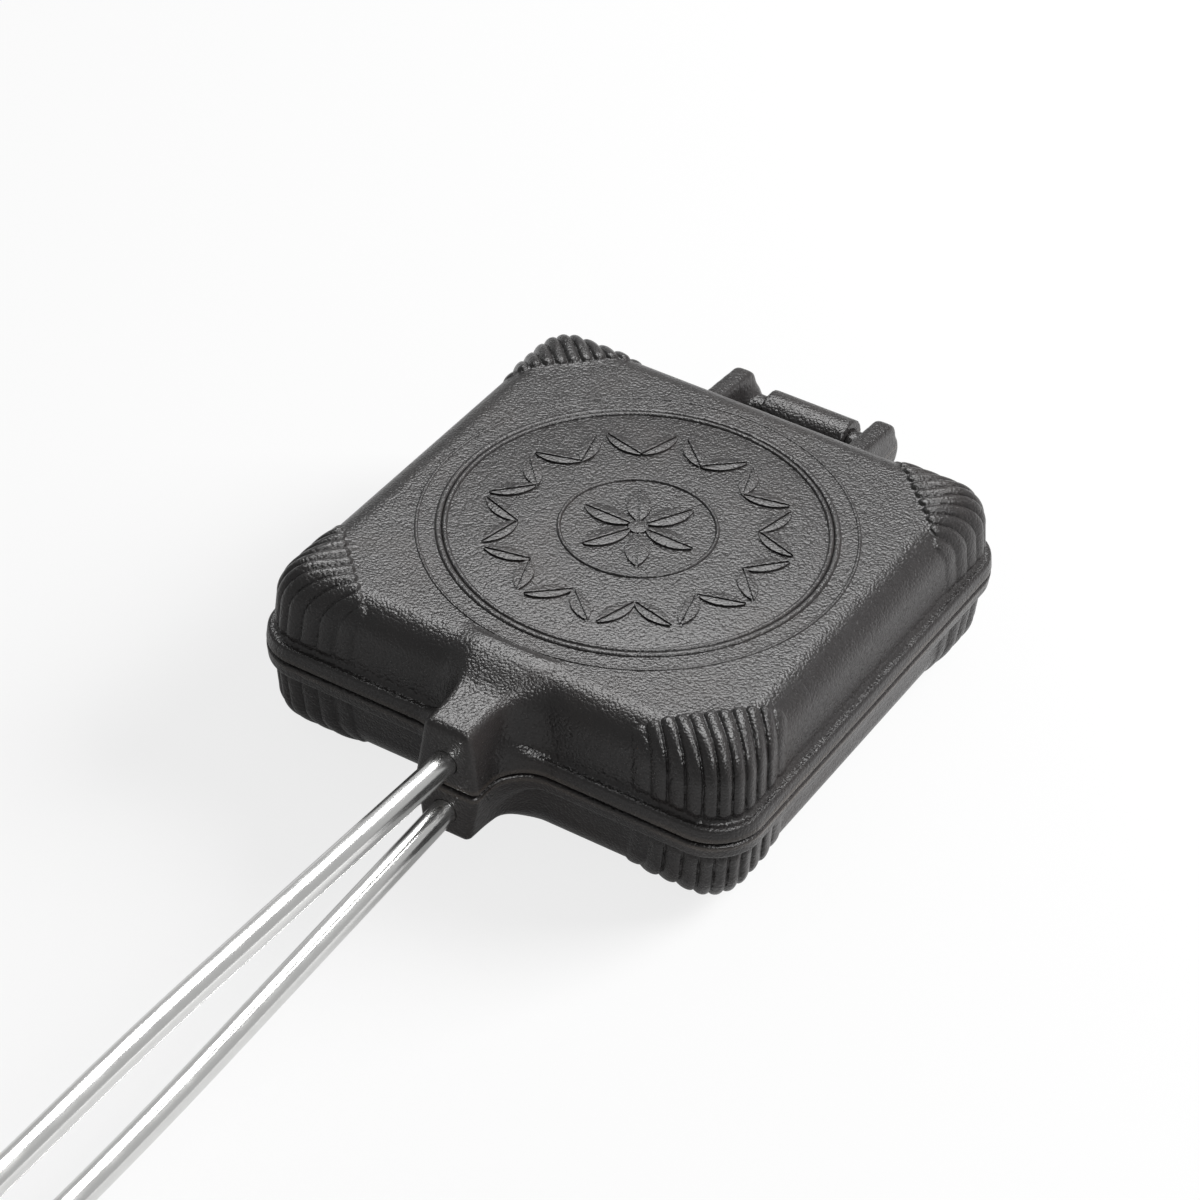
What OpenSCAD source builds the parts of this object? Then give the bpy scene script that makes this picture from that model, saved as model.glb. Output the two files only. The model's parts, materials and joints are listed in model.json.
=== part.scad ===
// Long-handled pie iron: two hinged cast-iron plates on steel rods with wooden grips.
// Origin: centre of the lower plate's flat underside. The handles run towards -Y,
// the hinge is at +Y and +Z is up. The plates are shown closed and the latch open.

/* [Plates] */
// Distance from the centre to the edge of the rim, along X and along Y
head_half = 67.5; // [55:0.5:85]
// Height of the closed head, underside to top
head_h = 44; // [36:1:60]
// Gap between the two rims when closed
rim_gap = 0.3; // [0.2:0.1:1]
// Height of the band round each rim
rim_h = 4.4; // [3:0.2:7]
// Corner radius of the rim in plan
rim_corner_r = 13.2; // [10:0.2:20]
// Step from the rim's edge in to the foot of the side wall
ledge_w = 2.6; // [1:0.2:5]
// Radius of the soft edge between side wall and top
edge_r = 9; // [5:0.5:9.8]
// How far the side wall leans in from foot to soft edge
wall_draft = 1.2; // [0.2:0.1:1.6]
// Corner radius of the flat top in plan
top_corner_r = 0.6; // [0.4:0.2:4]
// Width of the rim face between its outer edge and the cavity
rim_w = 8.5; // [6:0.5:12]
// Iron left between the cavity and the outside of the plate
floor_t = 5; // [3.5:0.5:8]
// Radius at the foot of the cavity wall
cavity_edge_r = 6; // [2:0.5:8]
// How far the cavity wall leans in
cavity_draft = 2.5; // [0.5:0.5:4]

/* [Corner ribs] */
// Number of ribs on each corner
rib_count = 11; // [3:2:13]
// Distance from one rib to the next
rib_pitch = 3.3; // [2.5:0.1:4]
// Width of one rib
rib_w = 2.3; // [1:0.1:2.6]
// How far a rib stands out of the wall
rib_h = 0.8; // [0.4:0.1:1.2]
// Where the ribs start, measured from the centre along the diagonal
rib_start = 69; // [60:0.5:72]

/* [Emblem] */
// Radius of the outer ring on the top plate
ring_r = 53.4; // [40:0.2:53.6]
// Height of the raised pattern
relief_h = 0.6; // [0.3:0.1:1]
// Number of leaves in the wreath
leaf_count = 24; // [8:1:32]
// Number of petals in the rosette
petal_count = 6; // [4:1:8]

/* [Handle sockets] */
// Distance from the centre to the front face of the sockets
socket_front = 82.5; // [78:0.1:100]
// Half width of a socket at the rim plane
socket_half_w = 8.6; // [8:0.2:15]
// Half width lost to the draft at the top of a socket
socket_draft = 2.4; // [0:0.2:3.4]
// Height of the upper socket at its front edge, above the rim plane
socket_h = 17.4; // [13:0.2:19]
// Depth of the lower socket at its front edge, below the rim plane
lower_socket_h = 14.6; // [12.2:0.2:19]
// Rise of the socket's top from its front edge back to the plate
socket_rise = 1.8; // [0:0.2:4]
// Radius of the blend between socket and plate
socket_fillet = 9; // [4:0.5:12]

/* [Rods] */
// Diameter of the handle rods
rod_d = 6.35; // [5:0.05:9]
// Distance of a rod's axis from the rim plane at the socket face
rod_lift = 7.3; // [6.4:0.1:8.5]
// Distance of a rod's axis from the rim plane along the straight part
rod_spread = 13.4; // [12.5:0.1:20]
// Distance from the centre to the bend of the rods
bend_y = 193; // [150:1:260]
// Depth of the rods in their sockets
rod_depth = 17; // [14:0.5:21]
// Play round a rod in its socket, ferrule and grip
seat_play = 0.05; // [0.02:0.01:0.1]

/* [Grips] */
// Distance from the centre to the front of the ferrules
grip_front = 470; // [380:5:600]
// Length of a ferrule
ferrule_len = 20; // [14:1:30]
// Wall thickness of a ferrule
ferrule_wall = 1; // [0.6:0.1:1.6]
// Length of the wooden grip
grip_len = 122; // [90:1:160]
// Diameter of the grip at its thickest
grip_d = 24; // [18:0.5:25]
// Diameter of the grip's spigot in the ferrule
spigot_d = 16; // [13:0.5:18]
// Length of the spigot
spigot_len = 14; // [8:1:18]

/* [End fittings] */
// Diameter of the end washers
washer_d = 16; // [13:0.5:18]
// Thickness of the end washers
washer_t = 1.5; // [1:0.1:2.5]
// Width across the flats of the cap nut
nut_w = 11; // [10:0.5:14]
// Height of the nut's hexagon
nut_h = 4; // [3:0.5:6]
// Thickness of the eye plate
eye_t = 3; // [2:0.5:5]
// Radius of the eye plate
eye_r = 6; // [5:0.5:8]
// Radius of the hole in the eye
eye_hole_r = 2.7; // [2.4:0.1:3.4]
// Diameter of the hanging ring, middle of the wire to middle of the wire
hang_ring_d = 27; // [20:1:34]
// Wire diameter of the hanging ring
hang_wire_d = 2.4; // [1.6:0.2:3]

/* [Latch] */
// Thickness of the latch plate
latch_t = 3; // [2:0.5:5]
// Length of the collar that turns on the lower rod
collar_len = 8; // [5:0.5:14]
// Wall thickness of the collar
collar_wall = 2.4; // [1.5:0.1:3.5]
// Width of the latch arm
arm_w = 4; // [3:0.5:6]
// Thickness of the hooked end
hook_t = 3.5; // [2.5:0.5:5]
// Clearance between the latch and the upper rod
latch_gap = 0.8; // [0.3:0.1:1]
// Play of the latch collar on its rod
latch_play = 0.08; // [0.04:0.01:0.1]
// Angle of the open latch from its locked place
latch_open = 80; // [60:1:85]
// Length of the stop ring that keeps the latch by the ferrule
stop_len = 4; // [3:0.5:8]

/* [Hinge] */
// Distance from the rim's edge to the hinge axis
hinge_offset = 17.5; // [16:0.5:24]
// Diameter of the hinge bar
bar_d = 8; // [6:0.5:9]
// Play between the hinge bar and its hook
hinge_play = 0.1; // [0.04:0.01:0.1]
// Wall thickness of the hook
hook_wall = 2.3; // [1.8:0.1:3]
// Half width of the hook
hook_half_w = 12; // [8:0.5:16]
// Distance from the centre to the inner face of an ear
ear_in = 17.8; // [15:0.2:22]
// Thickness of an ear
ear_w = 5.6; // [5:0.2:12]
// Height of the ears above the hinge axis
ear_h = 9.8; // [9:0.2:14]

/* [Hidden] */
$fn = 48;

iron = [0.13, 0.13, 0.14];
steel = [0.78, 0.78, 0.8];
wood = [0.72, 0.5, 0.3];

over = 0.5; // overrun of a cut past the face that it cuts
plate_h = head_h / 2; // rim plane to outside of a plate
rim_z = rim_gap / 2; // rim plane to rim face
wall_half = head_half - ledge_w;
wall_corner_r = edge_r + wall_draft + top_corner_r;
cavity_half = head_half - rim_w;
cavity_h = plate_h - floor_t;
cavity_corner_r = cavity_edge_r + cavity_draft + top_corner_r;
ring_w = 1.1; // width of a raised ring
ring_step = 3; // gap between the pattern's outer rings
wreath_r = 0.62 * ring_r;
leaf_r = 9.5; // radius of the arcs that bound a leaf
leaf_half_w = 2.3;
petal_r = 9;
petal_half_w = 3;
petal_place = 8.6; // rosette centre to petal centre
berry_r = 1.2;
rosette_ring_r = 19;

rod_r = rod_d / 2;
bore_r = rod_r + seat_play;
rod_tilt = atan((rod_spread - rod_lift) / (bend_y - socket_front));
bend_swell = 0.06; // swelling of a rod at its bend
bend_short = 0.25; // each stretch ends this far short of the bend's centre
rod_root_y = socket_front - rod_depth;
rod_root_z = rod_lift - rod_depth * tan(rod_tilt);
grip_root = grip_front + ferrule_len - spigot_len; // where the wood starts
grip_end = grip_root + grip_len;
shoulder_y = grip_front + ferrule_len; // where the grip's body starts
washer_end = grip_end + washer_t;
rod_end = washer_end + nut_h;
ferrule_r = spigot_d / 2 + ferrule_wall;
ferrule_nose_r = rod_r + 1.8;
collar_r = rod_r + latch_play;
collar_out_r = collar_r + collar_wall;
collar_gap = 0.15; // end play of the collar
collar_y = grip_front - collar_gap - collar_len;
latch_in = 2 * rod_spread + rod_r + latch_gap; // lower rod's axis to inside of the hook
latch_out = latch_in + hook_t;
arm_in = rod_r + latch_gap;
eye_neck = 3; // stretch between the eye nut's barrel and its plate
eye_y = washer_end + nut_h + eye_neck + eye_r; // centre of the eye
ring_clear = 0.3; // gap between the hanging ring and its eye
ring_drop = eye_hole_r - hang_wire_d / 2 - ring_clear;
nut_r = nut_w / 2 / cos(30);
dome_r = nut_w / 2 - 0.5;
hinge_y = head_half + hinge_offset;
bar_r = bar_d / 2;
hook_in_r = bar_r + hinge_play;
hook_out_r = hook_in_r + hook_wall;
ear_eye_r = bar_r + hook_wall;
ear_top_r = 4; // round of an ear's top, seen from the side
hook_lip = 3.4; // how far the hook's free leg reaches below the axis

// ---- shared shapes; z = 0 is the rim plane and +z is away from the other plate ----

// Cross-section of a wall: foot radius, height, soft edge radius, lean
module wall_profile(foot, height, round_r, lean) {
    shelf = foot - lean - round_r;
    polygon([[0, 0], [foot, 0], [foot - lean, height - round_r], [0, height - round_r]]);
    translate([0, height - round_r - 0.01]) square([shelf, round_r + 0.01]);
    intersection() {
        translate([shelf, height - round_r]) circle(r = round_r);
        translate([shelf, height - round_r - 0.01]) square([round_r + 1, round_r + 1]);
    }
}

// Square pad with round corners, leaning walls and a soft top edge
module pad(half, corner_r, height, round_r, lean) {
    inner = half - corner_r;
    for (turn = [0:90:270]) rotate(turn) {
        translate([inner, inner, 0])
            rotate_extrude(angle = 90) wall_profile(corner_r, height, round_r, lean);
        translate([inner, inner, 0]) rotate([90, 0, 0])
            linear_extrude(2 * inner) wall_profile(corner_r, height, round_r, lean);
    }
    translate([-inner, -inner, 0]) cube([2 * inner, 2 * inner, height]);
}

// The ribs of the four corners, in straight rows along each diagonal
module corner_ribs() {
    reach = 2 * head_half;
    intersection() {
        pad(wall_half + rib_h, wall_corner_r + rib_h, plate_h + rib_h, edge_r + rib_h, wall_draft);
        for (turn = [45:90:315]) rotate(turn)
            for (i = [0:rib_count - 1])
                translate([rib_start, (i - (rib_count - 1) / 2) * rib_pitch - rib_w / 2, rim_h - over])
                    cube([reach - rib_start, rib_w, plate_h]);
    }
}

// One lens-shaped leaf, lying along X, centred
module lens(arc_r, half_w) {
    drop = arc_r - half_w;
    intersection() {
        translate([0, drop]) circle(r = arc_r);
        translate([0, -drop]) circle(r = arc_r);
    }
}

// A raised ring of the pattern
module relief_ring(r) {
    difference() {
        circle(r = r + ring_w / 2, $fn = 96);
        circle(r = r - ring_w / 2, $fn = 96);
    }
}

// Leaf wreath round a rosette, inside plain rings
module emblem() {
    translate([0, 0, plate_h - over]) linear_extrude(over + relief_h) {
        relief_ring(ring_r - ring_w / 2);
        relief_ring(ring_r - ring_step - ring_w);
        relief_ring(rosette_ring_r);
        for (i = [0:petal_count - 1]) rotate(i * 360 / petal_count)
            translate([petal_place, 0]) lens(petal_r, petal_half_w);
        for (i = [0:leaf_count - 1]) rotate((i + 0.5) * 360 / leaf_count)
            translate([wreath_r, 0]) rotate(i % 2 == 0 ? 40 : 140) lens(leaf_r, leaf_half_w);
        circle(r = 2 * berry_r);
    }
}

// Side view of a socket: y towards the handles, z up
module socket_side(height) {
    nose = 2; // radius of the front top edge
    polygon([[wall_half - ledge_w, 0], [socket_front, 0], [socket_front, height - nose],
        [socket_front - nose, height], [wall_half - ledge_w, height + socket_rise]]);
    translate([socket_front - nose, height - nose]) circle(r = nose);
}

// Plan of a socket with its blends into the plate
module socket_plan() {
    root = wall_half - 4;
    corner = 1.5;
    translate([-socket_half_w, root]) square([2 * socket_half_w, socket_front - corner - root]);
    translate([corner - socket_half_w, root])
        square([2 * (socket_half_w - corner), socket_front - root]);
    for (s = [-1, 1]) translate([s * (socket_half_w - corner), socket_front - corner])
        circle(r = corner);
}

// Plan of the blends on both sides of the socket, reaching in past its leaning sides
module socket_blend(edge) {
    reach = socket_draft + 2;
    for (s = [-1, 1]) difference() {
        translate([s * (socket_half_w + (socket_fillet - reach) / 2), edge + socket_fillet / 2 - 1])
            square([socket_fillet + reach, socket_fillet + 2], center = true);
        translate([s * (socket_half_w + socket_fillet), edge + socket_fillet])
            circle(r = socket_fillet);
        translate([s * (socket_half_w + 1.5 * socket_fillet + 2), edge + socket_fillet / 2])
            square([socket_fillet + 4, 2 * socket_fillet + 4], center = true);
        translate([s * socket_half_w, edge + 1.5 * socket_fillet + 2])
            square([2 * socket_fillet + 4, socket_fillet + 4], center = true);
    }
}

// Half of the handle socket, cast with its plate
module socket_half(height) {
    lean = atan(socket_draft / socket_h);
    tall = 2 * plate_h;
    mirror([0, 1, 0]) {
        difference() {
            intersection() {
                linear_extrude(plate_h) socket_plan();
                rotate([90, 0, 90]) translate([0, 0, -head_half])
                    linear_extrude(2 * head_half) socket_side(height);
            }
            for (s = [0, 1]) mirror([s, 0, 0])
                translate([socket_half_w, 0, 0]) rotate([0, -lean, 0])
                    translate([0, 0, -over]) cube([head_half, 2 * head_half, tall]);
        }
        linear_extrude(rim_h) socket_blend(head_half);
        intersection() {
            linear_extrude(plate_h) socket_blend(wall_half - wall_draft);
            rotate([90, 0, 90]) translate([0, 0, -head_half])
                linear_extrude(2 * head_half) socket_side(height);
        }
    }
}

// One rod: a leaning stretch and a straight one, joined by the slight swelling of the bend
module rod_path(r) {
    union() {
        translate([0, -rod_root_y, rod_root_z]) rotate([90 - rod_tilt, 0, 0])
            cylinder(r = r, h = (bend_y - rod_root_y) / cos(rod_tilt) - bend_short);
        translate([0, -bend_y, rod_spread]) sphere(r = r + bend_swell);
        translate([0, -bend_y - bend_short, rod_spread]) rotate([90, 0, 0])
            cylinder(r = r, h = rod_end - bend_y - bend_short);
    }
}

// One plate without its hinge: pad, rim, ribs, socket of this height, cavity and rod bore
module plate_body(height) {
    difference() {
        union() {
            pad(head_half, rim_corner_r, rim_h, 1, 0.4);
            pad(wall_half, wall_corner_r, plate_h, edge_r, wall_draft);
            corner_ribs();
            socket_half(height);
        }
        pad(cavity_half, cavity_corner_r, cavity_h, cavity_edge_r, cavity_draft);
        translate([0, -rod_root_y, rod_root_z]) rotate([90 - rod_tilt, 0, 0])
            cylinder(r = bore_r, h = 2 * rod_depth);
        translate([0, 0, rim_z - plate_h])
            cube([4 * head_half, 4 * head_half, 2 * plate_h], center = true);
    }
}

// Puts a lower piece in place, upside down under the rim plane
module as_lower() {
    translate([0, 0, plate_h]) mirror([0, 0, 1]) children();
}

// Puts an upper piece in place above the rim plane
module as_upper() {
    translate([0, 0, plate_h]) children();
}

// Side view of one ear, centred on the hinge axis
module ear_side() {
    root = hinge_offset + ledge_w + 3;
    slack = 0.02; // keeps corners just inside the round ends
    circle(r = ear_eye_r);
    translate([0, ear_h - ear_top_r]) circle(r = ear_top_r);
    polygon([[-root, rim_z], [-root, ear_h + 2], [-0.4, ear_h - slack],
        [ear_top_r - slack, ear_h - ear_top_r], [ear_eye_r - slack, 0.5], [0, 0],
        [-0.64 * ear_eye_r, -0.76 * ear_eye_r], [1 - hinge_offset, rim_z]]);
}

// Side view of the hook that lies over the hinge bar
module hook_side() {
    root = hinge_offset + ledge_w + 3;
    slack = 0.02;
    difference() {
        union() {
            circle(r = hook_out_r);
            translate([0, -hook_lip]) square([hook_out_r - slack, hook_lip + 0.5]);
            polygon([[-root, -rim_z], [1 - hinge_offset, -rim_z], [-hook_out_r + slack, 0.5], [0, 0.5],
                [0, -hook_lip - 1], [-hook_out_r, -hook_lip - 2], [-root, -plate_h / 2]]);
        }
        circle(r = hook_in_r);
        translate([-hook_in_r, -plate_h]) square([2 * hook_in_r, plate_h + 0.1]);
    }
}

// ---- sub-parts ----

// Lower half: standing face ground flat, hook of the hinge
module lower_plate() {
    color(iron) union() {
        intersection() {
            as_lower() plate_body(lower_socket_h);
            translate([-head_half * 2, -head_half * 2, 0])
                cube([head_half * 4, head_half * 4, head_h]);
        }
        translate([-hook_half_w, hinge_y, plate_h]) rotate([90, 0, 90])
            linear_extrude(2 * hook_half_w) hook_side();
    }
}

// Upper half: emblem, hinge ears and the bar between them
module upper_plate() {
    flare = 2;
    color(iron) union() {
        as_upper() plate_body(socket_h);
        as_upper() emblem();
        for (s = [0, 1]) mirror([s, 0, 0]) {
            translate([ear_in, hinge_y, plate_h]) rotate([90, 0, 90])
                linear_extrude(ear_w) ear_side();
            translate([ear_in - flare, hinge_y, plate_h]) rotate([0, 90, 0])
                cylinder(r1 = bar_r, r2 = ear_eye_r, h = flare);
        }
        translate([-ear_in - 1, hinge_y, plate_h]) rotate([0, 90, 0])
            cylinder(r = bar_r, h = 2 * ear_in + 2);
    }
}

// Lower handle rod
module lower_rod() {
    color(steel) as_lower() rod_path(rod_r);
}

// Upper handle rod
module upper_rod() {
    color(steel) as_upper() rod_path(rod_r);
}

// Metal collar at the front of a grip
module ferrule() {
    inside = ferrule_len - spigot_len;
    color(steel) translate([0, -grip_front, rod_spread]) rotate([90, 0, 0]) difference() {
        union() {
            cylinder(r1 = ferrule_nose_r, r2 = ferrule_r, h = inside);
            translate([0, 0, inside]) cylinder(r = ferrule_r, h = spigot_len);
        }
        translate([0, 0, inside]) cylinder(r = spigot_d / 2 + seat_play, h = spigot_len + over);
        translate([0, 0, -over]) cylinder(r = bore_r, h = ferrule_len + 2 * over);
    }
}

// Ferrule on the lower rod
module lower_ferrule() {
    as_lower() ferrule();
}

// Ferrule on the upper rod
module upper_ferrule() {
    as_upper() ferrule();
}

// Turned wooden grip: swells from the ferrule and rounds off at the end
module grip() {
    body = grip_end - shoulder_y;
    steps = 12;
    neck = ferrule_r + 0.4;
    swell = grip_d / 2 - neck;
    end_r = 4;
    side = [for (i = [0:steps]) [neck + swell * sin(150 * i / steps) , spigot_len + (body - end_r) * i / steps]];
    tip_r = neck + swell * sin(150);
    color(wood) translate([0, -grip_root, rod_spread]) rotate([90, 0, 0]) difference() {
        union() {
            rotate_extrude() polygon(concat([[0, 0], [spigot_d / 2, 0], [spigot_d / 2, spigot_len]],
                side, [[0, spigot_len + body - end_r]]));
            translate([0, 0, grip_len - end_r]) cylinder(r = tip_r - end_r, h = end_r);
            rotate_extrude() translate([tip_r - end_r, grip_len - end_r]) intersection() {
                circle(r = end_r);
                square(end_r + 1);
            }
        }
        translate([0, 0, -over]) cylinder(r = bore_r, h = grip_len + 2 * over);
    }
}

// Grip on the lower rod
module lower_grip() {
    as_lower() grip();
}

// Grip on the upper rod
module upper_grip() {
    as_upper() grip();
}

// Flat washer at the end of a grip
module washer() {
    color(steel) translate([0, -grip_end, rod_spread]) rotate([90, 0, 0]) difference() {
        cylinder(r = washer_d / 2, h = washer_t);
        translate([0, 0, -over]) cylinder(r = bore_r, h = washer_t + 2 * over);
    }
}

// Washer on the lower rod
module lower_washer() {
    as_lower() washer();
}

// Washer on the upper rod
module upper_washer() {
    as_upper() washer();
}

// Domed nut on the end of the lower rod
module cap_nut() {
    color(steel) as_lower() translate([0, -washer_end, rod_spread]) rotate([90, 0, 0])
        difference() {
            union() {
                cylinder(r = nut_r, h = nut_h, $fn = 6);
                translate([0, 0, nut_h]) intersection() {
                    sphere(r = dome_r);
                    translate([0, 0, -over]) cylinder(r = dome_r + over, h = dome_r + 2 * over);
                }
            }
            translate([0, 0, -over]) cylinder(r = bore_r, h = nut_h + over);
        }
}

// Eye nut on the end of the upper rod
module hanging_eye() {
    color(steel) as_upper() difference() {
        union() {
            translate([0, -washer_end, rod_spread]) rotate([90, 0, 0])
                cylinder(r = nut_w / 2, h = nut_h + eye_neck + eye_r / 4);
            translate([-eye_t / 2, -eye_y, rod_spread]) rotate([0, 90, 0])
                cylinder(r = eye_r, h = eye_t);
        }
        translate([-eye_t, -eye_y, rod_spread]) rotate([0, 90, 0])
            cylinder(r = eye_hole_r, h = 2 * eye_t);
        translate([0, -washer_end + over, rod_spread]) rotate([90, 0, 0])
            cylinder(r = bore_r, h = nut_h + over);
    }
}

// Wire ring that hangs from the eye
module hanging_ring() {
    color(steel) as_upper()
        translate([0, -eye_y, rod_spread - ring_drop - hang_ring_d / 2]) rotate([90, 0, 0])
            rotate_extrude() translate([hang_ring_d / 2, 0]) circle(r = hang_wire_d / 2);
}

// Ring pressed on the lower rod in front of the latch
module latch_stop() {
    color(steel) as_lower()
        translate([0, -collar_y + collar_gap, rod_spread]) rotate([-90, 0, 0]) difference() {
            cylinder(r = collar_out_r, h = stop_len);
            translate([0, 0, -over]) cylinder(r = bore_r, h = stop_len + 2 * over);
        }
}

// Flat side of the locked latch: x to the side, y up, from the lower rod's axis
module latch_flat() {
    finger = 7; // length of the thumb tab
    difference() {
        union() {
            translate([-arm_in - arm_w, 0]) square([arm_w, latch_in]);
            translate([-arm_in - arm_w, 0]) square([arm_in + arm_w, collar_out_r]);
            circle(r = collar_out_r);
            intersection() {
                difference() {
                    circle(r = latch_out, $fn = 96);
                    circle(r = latch_in, $fn = 96);
                }
                translate([-arm_in - arm_w - finger, 0])
                    square([2 * arm_in + arm_w + finger, 2 * latch_out]);
            }
        }
        circle(r = collar_r);
    }
}

// Swinging latch, shown open; it turns on the lower rod and hooks over the upper one
module latch_hook() {
    color(steel) translate([0, -collar_y - collar_len, plate_h - rod_spread])
        rotate([0, -latch_open, 0]) {
            translate([0, collar_len / 2 + latch_t / 2, 0]) rotate([90, 0, 0])
                linear_extrude(latch_t) latch_flat();
            translate([0, collar_len, 0]) rotate([90, 0, 0]) difference() {
                cylinder(r = collar_out_r, h = collar_len);
                translate([0, 0, -over]) cylinder(r = collar_r, h = collar_len + 2 * over);
            }
        }
}

lower_plate();
upper_plate();
lower_rod();
upper_rod();
lower_ferrule();
upper_ferrule();
lower_grip();
upper_grip();
lower_washer();
upper_washer();
cap_nut();
hanging_eye();
hanging_ring();
latch_stop();
latch_hook();
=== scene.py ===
"""Looks of a long-handled pie iron: two cast-iron plates on steel rods with wooden grips.

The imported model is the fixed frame. Each operator below makes one piece or one group of like
pieces around it, and the last one sets the stage. Lengths are metres, and MM turns millimetres
into them. The tables of the cast form, the pattern and the grip are in millimetres.
"""
import json
import math

import bpy
import numpy as np
from bpy.props import FloatProperty, FloatVectorProperty, IntProperty, PointerProperty
from mathutils import Euler, Matrix, Vector


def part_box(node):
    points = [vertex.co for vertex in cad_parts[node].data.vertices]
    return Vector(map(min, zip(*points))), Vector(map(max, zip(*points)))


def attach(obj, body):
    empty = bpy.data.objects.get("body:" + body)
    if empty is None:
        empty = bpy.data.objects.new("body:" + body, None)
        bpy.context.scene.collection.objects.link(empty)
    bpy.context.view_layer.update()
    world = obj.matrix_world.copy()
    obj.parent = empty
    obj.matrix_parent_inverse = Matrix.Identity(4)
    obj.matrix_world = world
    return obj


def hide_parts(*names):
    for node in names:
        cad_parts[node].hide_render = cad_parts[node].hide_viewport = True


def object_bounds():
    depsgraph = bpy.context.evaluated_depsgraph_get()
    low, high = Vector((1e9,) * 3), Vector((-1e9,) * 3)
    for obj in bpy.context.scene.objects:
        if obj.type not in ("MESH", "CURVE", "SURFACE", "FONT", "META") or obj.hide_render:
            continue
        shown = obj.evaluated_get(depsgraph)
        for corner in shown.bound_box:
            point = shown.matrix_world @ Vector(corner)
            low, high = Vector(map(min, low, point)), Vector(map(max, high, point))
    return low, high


bl_info = {
    "name": "Pie Iron",
    "version": (1, 0, 0),
    "blender": (4, 5, 0),
    "location": "3D View > Sidebar > Pie Iron",
    "description": "Builds the visible pieces of a long-handled pie iron round its frame",
    "category": "Add Mesh",
}

MM = 0.001
MERGE = 0.002 * MM
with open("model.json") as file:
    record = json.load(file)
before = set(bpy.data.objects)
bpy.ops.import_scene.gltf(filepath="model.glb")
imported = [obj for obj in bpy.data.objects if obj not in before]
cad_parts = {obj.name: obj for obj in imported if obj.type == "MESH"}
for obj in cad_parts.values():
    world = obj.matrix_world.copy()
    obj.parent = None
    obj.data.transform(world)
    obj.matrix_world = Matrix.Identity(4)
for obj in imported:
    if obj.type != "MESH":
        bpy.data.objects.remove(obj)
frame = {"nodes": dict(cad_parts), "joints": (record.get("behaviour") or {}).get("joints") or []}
CAD_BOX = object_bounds()
JOINTS = {joint["name"]: joint for joint in frame["joints"]}
RIM_Z = JOINTS["plate_hinge"]["pos_m"][2]
HEAD_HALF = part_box("lower_plate")[1].x
ROD_SPREAD = (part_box("upper_washer")[0].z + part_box("upper_washer")[1].z) / 2 - RIM_Z
ROD_ROOT_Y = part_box("upper_rod")[1].y
ROD_END_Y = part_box("upper_rod")[0].y
GRIP_BACK_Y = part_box("upper_grip")[0].y
GRIP_FRONT_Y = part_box("upper_grip")[1].y
FLOOR_Z = CAD_BOX[0].z - 0.1 * MM
SIDES = (("lower", -1), ("upper", 1))


# ---- sizes and colours that a user would change ----

class CastingSizes(bpy.types.PropertyGroup):
    """The two cast plates and the pattern on the upper one."""

    cell: FloatProperty(name="Cell", description="Cell size of the cast surface's mesh",
                        default=0.4 * MM, unit="LENGTH")
    softness: IntProperty(name="Softness", description="Passes that round off the cast edges",
                          default=5, min=1, max=20)
    triangles: IntProperty(name="Triangles", description="Triangles kept on each plate", default=190000)
    ring_r: FloatProperty(name="Disc radius", description="Radius of the low disc under the pattern",
                          default=53.4 * MM, unit="LENGTH")
    disc_step: FloatProperty(name="Disc step", description="Height of the low disc above the plate",
                             default=0.06 * MM, unit="LENGTH")
    relief: FloatProperty(name="Relief", description="Height of the raised pattern above the plate",
                          default=0.58 * MM, unit="LENGTH")
    leaves: IntProperty(name="Leaves", description="Number of leaves in the wreath", default=24)
    petals: IntProperty(name="Petals", description="Number of petals in the rosette", default=6)
    iron: FloatVectorProperty(name="Iron", description="Colour of the seasoned iron", subtype="COLOR",
                              default=(0.024, 0.0222, 0.0222))
    bare: FloatVectorProperty(name="Worn iron", description="Colour of the iron where it is worn",
                              subtype="COLOR", default=(0.075, 0.062, 0.052))


class HandleSizes(bpy.types.PropertyGroup):
    """Rods, grips and fittings."""

    rod_r: FloatProperty(name="Rod radius", description="Radius of a handle rod", default=3.175 * MM,
                         unit="LENGTH")
    bend_y: FloatProperty(name="Bend", description="Distance from the head's centre to the rods' bend",
                          default=193 * MM, unit="LENGTH")
    bend_half: FloatProperty(name="Half bend", description="Half the length of a rod's bend",
                             default=22 * MM, unit="LENGTH")
    tilt: FloatProperty(name="Tilt", description="Angle between a rod's front stretch and the rim plane",
                        default=math.atan2(6.1, 110.5), subtype="ANGLE")
    steel: FloatVectorProperty(name="Steel", description="Colour of the bright steel", subtype="COLOR",
                               default=(0.74, 0.74, 0.73))
    wood: FloatVectorProperty(name="Wood", description="Colour of the oiled wood", subtype="COLOR",
                              default=(0.50, 0.27, 0.12))
    wood_dark: FloatVectorProperty(name="Wood grain", description="Colour of the wood's grain lines",
                                   subtype="COLOR", default=(0.27, 0.12, 0.045))


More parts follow.
